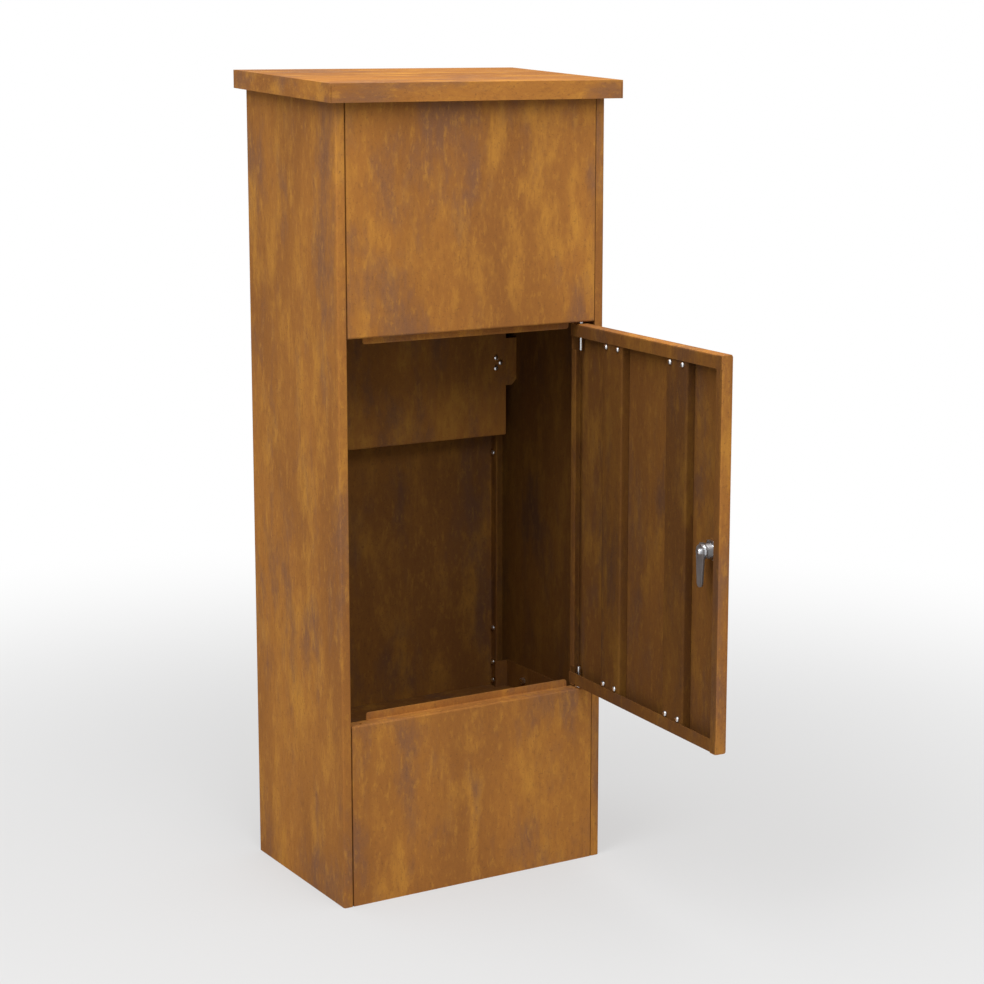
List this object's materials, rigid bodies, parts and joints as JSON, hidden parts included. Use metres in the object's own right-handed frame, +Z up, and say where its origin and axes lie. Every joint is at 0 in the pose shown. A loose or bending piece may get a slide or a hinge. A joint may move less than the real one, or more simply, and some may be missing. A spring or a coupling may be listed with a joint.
{
  "type": "weathering-steel parcel mailbox",
  "caption": "Free-standing sheet-steel parcel mailbox with a pitched cap, a hinged front door on pivot pins, a cam lock and a rear letter slot with a flap.",
  "frame": {"origin": "middle of the base plate's underside, on the ground", "axes": "+Z up, -Y out of the door opening, +X to the right seen from the door side"},
  "size_m": [0.398, 0.5685, 1],
  "materials": {
    "rust": "rusted",
    "inner_rust": "rusted",
    "zinc": "satin",
    "chrome": "polished",
    "cam_steel": "satin"
  },
  "bodies": {
    "body": {"back_bolt_1": "zinc", "back_bolt_2": "zinc", "back_bolt_3": "zinc", "back_bolt_4": "zinc", "back_bolt_5": "zinc", "back_bolt_6": "zinc", "back_bolt_7": "zinc", "back_bolt_8": "zinc", "back_panel": "inner_rust", "baffle_bolt_1": "zinc", "baffle_bolt_2": "zinc", "baffle_bolt_3": "zinc", "baffle_bolt_4": "zinc", "baffle_bolt_5": "zinc", "baffle_bolt_6": "zinc", "baffle_bracket_left": "inner_rust", "baffle_bracket_right": "inner_rust", "baffle_plate": "inner_rust", "base_plate": "inner_rust", "flap_pin": "zinc", "floor_tray": "inner_rust", "left_side_panel": "rust", "lower_front_panel": "rust", "right_side_panel": "rust", "roof_bearer_front": "inner_rust", "roof_bearer_rear": "inner_rust", "roof_cap": "rust", "roof_nut_1": "zinc", "roof_nut_2": "zinc", "roof_nut_3": "zinc", "roof_nut_4": "zinc", "tray_nut_1": "zinc", "tray_nut_2": "zinc", "tray_nut_3": "zinc", "tray_nut_4": "zinc", "upper_front_panel": "rust"},
    "door": {"door_pan": "rust", "door_stiffener_hinge_side": "inner_rust", "door_stiffener_lock_side": "inner_rust", "hinge_pin_bottom": "zinc", "hinge_pin_top": "zinc", "hinge_washer": "zinc", "lock_body": "chrome", "lock_nut": "zinc", "stiffener_bolt_1": "zinc", "stiffener_bolt_2": "zinc", "stiffener_bolt_3": "zinc", "stiffener_bolt_4": "zinc", "stiffener_bolt_5": "zinc", "stiffener_bolt_6": "zinc", "stiffener_bolt_7": "zinc", "stiffener_bolt_8": "zinc"},
    "lock": {"lock_plug": "chrome", "lock_cam": "cam_steel", "cam_screw": "zinc"},
    "flap": {"letter_flap": "rust"}
  },
  "joints": [
    {"name": "door_hinge", "type": "hinge", "parent": "body", "child": "door", "pos_m": [0.1565, -0.11275, 0.46], "axis": [0, 0, 1], "range_deg": [-87, 33]},
    {"name": "lock_turn", "type": "hinge", "parent": "door", "child": "lock", "pos_m": [0.14109, -0.40685, 0.463], "axis": [-0.9986, 0.0523, 0], "range_deg": [0, 90]},
    {"name": "flap_hinge", "type": "hinge", "parent": "body", "child": "flap", "pos_m": [0, 0.1248, 0.913], "axis": [1, 0, 0], "range_deg": [0, 90]}
  ]
}
